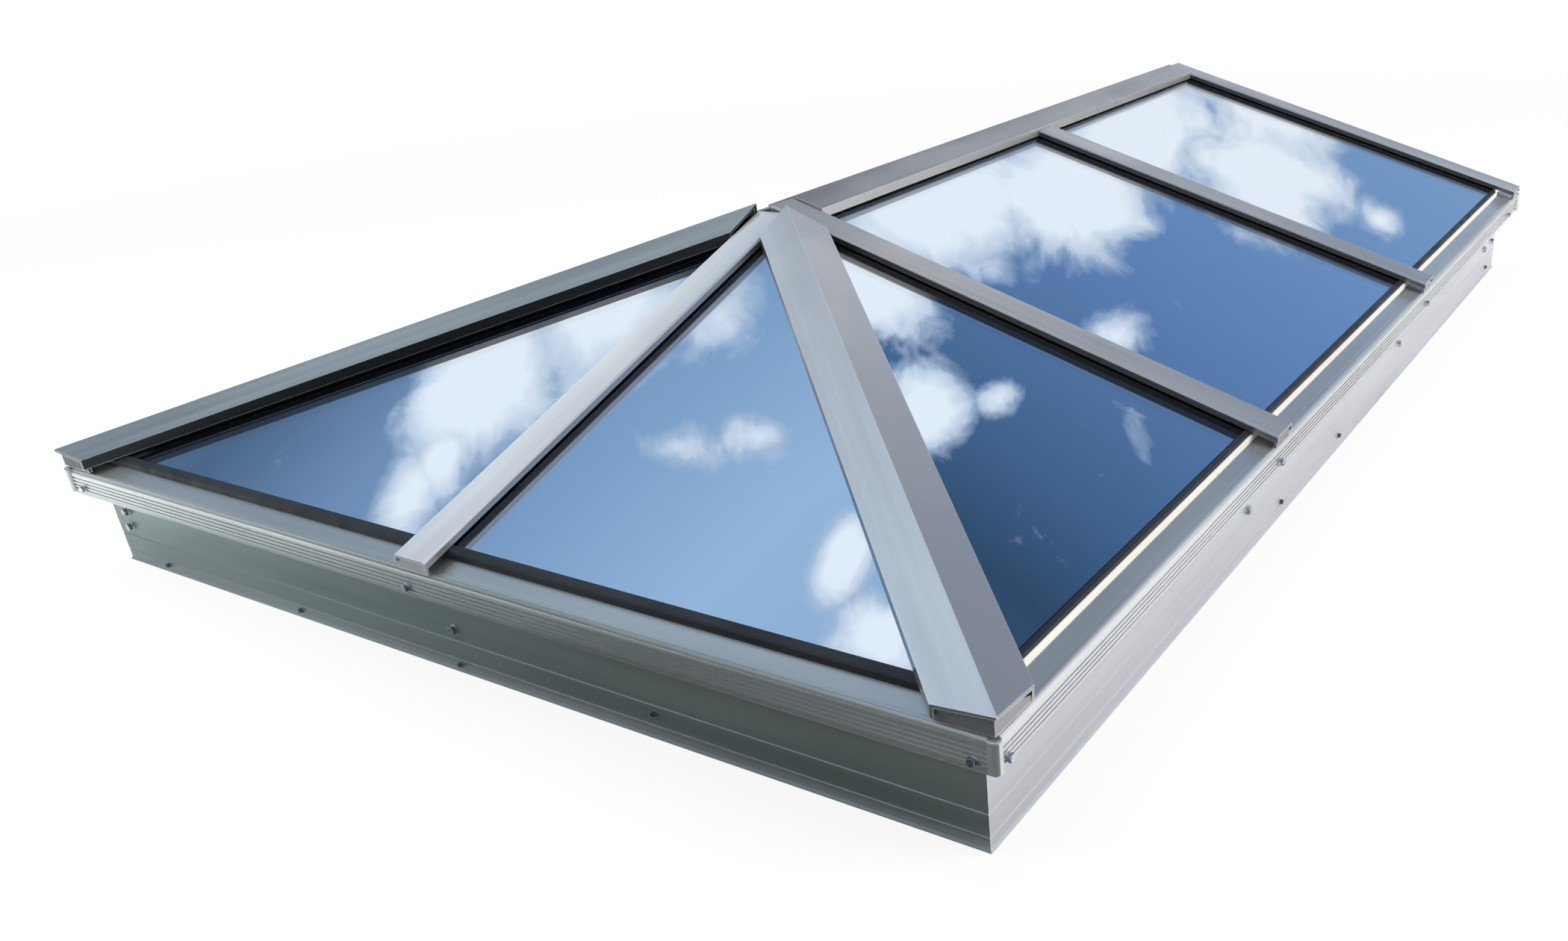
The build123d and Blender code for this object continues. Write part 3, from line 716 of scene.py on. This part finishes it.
cloudLook = {
    "clouds": [
        ((0.37, 0.95), (0.12, 0.10), 1.2), ((0.25, 0.965), (0.08, 0.05), 1.0),
        ((0.30, 0.95), (0.08, 0.05), 1.0), ((0.47, 0.87), (0.12, 0.11), 1.1),
        ((0.365, 0.74), (0.035, 0.060), 0.75), ((0.39, 0.67), (0.030, 0.055), 0.75),
        ((0.49, 0.76), (0.07, 0.07), 0.65), ((0.31, 0.555), (0.060, 0.040), 1.0),
        ((0.26, 0.50), (0.05, 0.055), 1.2), ((0.20, 0.50), (0.05, 0.05), 1.0),
        ((1.04, 0.43), (0.14, 0.11), 1.1), ((0.975, 0.28), (0.09, 0.075), 0.95),
        ((1.05, 0.245), (0.06, 0.035), 0.8), ((1.20, 0.46), (0.20, 0.13), 1.3),
        ((1.36, 0.38), (0.17, 0.12), 1.2), ((1.24, 0.22), (0.07, 0.045), 0.75),
        ((1.56, 0.42), (0.20, 0.17), 1.3), ((1.66, 0.25), (0.17, 0.14), 1.2),
        ((1.78, 0.32), (0.20, 0.16), 1.0), ((1.75, 0.12), (0.06, 0.06), 0.8),
    ],
    "clear": -0.6,
    "ceilingLift": 0.22,
    "lowestLift": 0.05,
    "puff": {"Scale": 11.0, "Detail": 10.0, "Roughness": 0.62, "Distortion": 0.4},
    "puffMiddle": 0.5,
    "puffDepth": 1.5,
    "edge": [(0.16, 0.0), (0.44, 1.0)],
    "colours": [(0.35, "#c3cfdf"), (0.75, "#ffffff")],
    "broad": {"Scale": 1.6, "Detail": 3.0},
    "broadMiddle": 0.42,
    "broadGain": 5.0,
    "broadDrop": 0.05,
    "listedMiddle": (0.9, 0.55, 0.0),
    "listedScale": 0.5,
    "beyond": [(0.5, 0.0), (0.7, 1.0)],
}


def skyColour(tree, parts):
    # north, east and the other sides run into each other
    north, east, other = [ramp(tree, parts["Z"], skyLook[key])
                          for key in ("north", "east", "other")]
    east = mixColour(tree, ramp(tree, parts["X"], skyLook["toEast"]), other, east)
    return mixColour(tree, ramp(tree, parts["Y"], skyLook["toNorth"]), east, north)


def cloudField(tree, ceiling):
    # how deep in a listed cloud each place of the ceiling is, before its edges are broken up
    field = cloudLook["clear"]
    for middle, (long, wide), strength in cloudLook["clouds"]:
        away = vectorMath(tree, "SUBTRACT", ceiling, (*middle, 0.0)).outputs[0]
        scaled = vectorMath(tree, "MULTIPLY", away, (1 / long, 1 / wide, 0.0)).outputs[0]
        reach = vectorMath(tree, "LENGTH", scaled).outputs["Value"]
        blob = calc(tree, "SUBTRACT", strength, calc(tree, "MULTIPLY", reach, strength))
        field = calc(tree, "MAXIMUM", blob, field)
    return field


def makeCeiling(tree, parts):
    # where a direction meets a level ceiling, held off the horizon
    raised = calc(tree, "ADD", parts["Z"], cloudLook["ceilingLift"])
    lift = calc(tree, "MAXIMUM", raised, cloudLook["lowestLift"])
    return makeNode(tree, "ShaderNodeCombineXYZ", {
        "X": calc(tree, "DIVIDE", parts["X"], lift),
        "Y": calc(tree, "DIVIDE", parts["Y"], lift), "Z": 0.0}).outputs[0]


def cloudDepth(tree, ceiling):
    # the listed clouds, and scattered ones outside the part of the ceiling that they cover
    puffs = makeNode(tree, "ShaderNodeTexNoise", {"Vector": ceiling, **cloudLook["puff"]})
    broad = makeNode(tree, "ShaderNodeTexNoise", {"Vector": ceiling, **cloudLook["broad"]})
    shown = vectorMath(tree, "DISTANCE", ceiling, cloudLook["listedMiddle"]).outputs["Value"]
    shown = calc(tree, "MULTIPLY", shown, cloudLook["listedScale"])
    beyond = ramp(tree, shown, cloudLook["beyond"])
    around = calc(tree, "SUBTRACT", broad.outputs["Fac"], cloudLook["broadMiddle"])
    around = calc(tree, "MULTIPLY", around, cloudLook["broadGain"])
    around = calc(tree, "MULTIPLY", around, beyond)
    around = calc(tree, "SUBTRACT", around, cloudLook["broadDrop"])
    field = calc(tree, "MAXIMUM", cloudField(tree, ceiling), around)
    broken = calc(tree, "SUBTRACT", puffs.outputs["Fac"], cloudLook["puffMiddle"])
    return calc(tree, "ADD", field, calc(tree, "MULTIPLY", broken, cloudLook["puffDepth"]))


def makeWorld():
    # white to the camera, a plain fill for the light, and the sky for what is mirrored
    world = bpy.data.worlds.new("studio")
    bpy.context.scene.world = world
    world.use_nodes = True
    tree = world.node_tree
    tree.nodes.clear()
    parts = splitUp(tree, makeNode(tree, "ShaderNodeTexCoord").outputs["Generated"])
    depth = cloudDepth(tree, makeCeiling(tree, parts))
    sky = mixColour(tree, ramp(tree, depth, cloudLook["edge"]), skyColour(tree, parts),
                    ramp(tree, depth, cloudLook["colours"]))
    west = ramp(tree, calc(tree, "MULTIPLY", parts["X"], -1.0), skyLook["toWest"])
    low = ramp(tree, parts["Z"], skyLook["shadeHeight"])
    sky = mixColour(tree, calc(tree, "MULTIPLY", west, low), sky, skyLook["westShade"])
    plain, white, mirrored = [
        makeNode(tree, "ShaderNodeBackground", {"Color": colour, "Strength": strength}).outputs[0]
        for colour, strength in (("#ffffff", skyLook["fill"]), ("#ffffff", 1.0),
                                 (sky, skyLook["mirrored"]))]
    path = makeNode(tree, "ShaderNodeLightPath").outputs
    mirror = calc(tree, "MAXIMUM", path["Is Glossy Ray"], path["Is Transmission Ray"])
    first = makeNode(tree, "ShaderNodeMixShader", {0: mirror, 1: plain, 2: mirrored})
    second = makeNode(tree, "ShaderNodeMixShader",
                      {0: path["Is Camera Ray"], 1: first.outputs[0], 2: white})
    makeNode(tree, "ShaderNodeOutputWorld", {"Surface": second.outputs[0]})


lamps = {
    "key": {"place": (1.5, -4.0, 1.9), "aim": (0.1, 0, 0.1), "size": 3.0, "power": 240.0},
    "top": {"place": (0.2, 0.6, 3.6), "aim": (0, 0, 0.1), "size": 3.0, "power": 90.0},
    "west": {"place": (-2.0, 1.9, 1.6), "aim": (-0.8, 0.4, 0.12), "size": 1.2, "power": 62.0},
    "corner": {"place": (-1.1, -1.7, 1.4), "aim": (-0.85, -0.6, 0.13), "size": 0.6,
               "power": 4.0},
}


def makeLamps():
    # soft lamps that reflections don't see
    for name, look in lamps.items():
        data = bpy.data.lights.new(name, "AREA")
        data.shape = "SQUARE"
        data.size = look["size"]
        data.energy = look["power"]
        lamp = bpy.data.objects.new(name, data)
        bpy.context.collection.objects.link(lamp)
        lamp.location = look["place"]
        view = Vector(look["aim"]) - Vector(look["place"])
        lamp.rotation_euler = view.to_track_quat("-Z", "Y").to_euler()
        lamp.visible_glossy = lamp.visible_transmission = False


def makeSheet(name, finish, cells, size):
    mesh = bmesh.new()
    bmesh.ops.create_grid(mesh, x_segments=cells, y_segments=cells, size=size)
    return makeObject(name, mesh, finish)


cardLook = {
    "size": (1.6, 2.8), "place": (-1.72, 0.0, 0.0004), "rough": 0.9,
    "colours": [(0.0, "#303735"), (0.46, "#3d4644"), (0.62, "#95a1a0"), (0.84, "#eef5f5")],
}


def makeCard():
    # a card beside the hip end, dark to light along it, which only reflections see
    material, tree, shader = newMaterial("cardGrey")
    along = splitUp(tree, objectPlace(tree))["Y"]
    tone = ramp(tree, calc(tree, "ADD", along, 0.5), cardLook["colours"])
    feed(tree, shader, {"Base Color": tone, "Roughness": cardLook["rough"]})
    card = makeSheet("shadeCard", material, 2, 0.5)
    card.location = cardLook["place"]
    card.scale = (*cardLook["size"], 1)
    card.visible_camera = card.visible_diffuse = card.visible_shadow = False


floorLook = {"size": 30, "drop": 0.0006, "colour": (0.85, 0.85, 0.86, 1), "rough": 0.8,
             "nearby": 1.6, "away": 3.5, "nearbyWhite": 0.86}


def makeFloor():
    # pale, keeping soft shadows nearby, and plain white to the camera farther away
    material, tree, shader = newMaterial("floorWhite")
    feed(tree, shader, {"Base Color": floorLook["colour"], "Roughness": floorLook["rough"]})
    glow = makeNode(tree, "ShaderNodeEmission", {"Color": "#ffffff", "Strength": 1.0})
    distance = vectorMath(tree, "LENGTH", objectPlace(tree)).outputs["Value"]
    white = mapRange(tree, distance, floorLook["nearby"], floorLook["away"],
                     floorLook["nearbyWhite"], 1.0)
    path = makeNode(tree, "ShaderNodeLightPath").outputs
    amount = calc(tree, "MULTIPLY", path["Is Camera Ray"], white)
    blend = makeNode(tree, "ShaderNodeMixShader",
                     {0: amount, 1: shader.outputs[0], 2: glow.outputs[0]})
    feed(tree, tree.nodes["Material Output"], {"Surface": blend.outputs[0]})
    floor = makeSheet("floor", material, 4, floorLook["size"])
    floor.location.z = -floorLook["drop"]


makeWorld()
makeLamps()
makeFloor()
makeCard()
print("studio set")
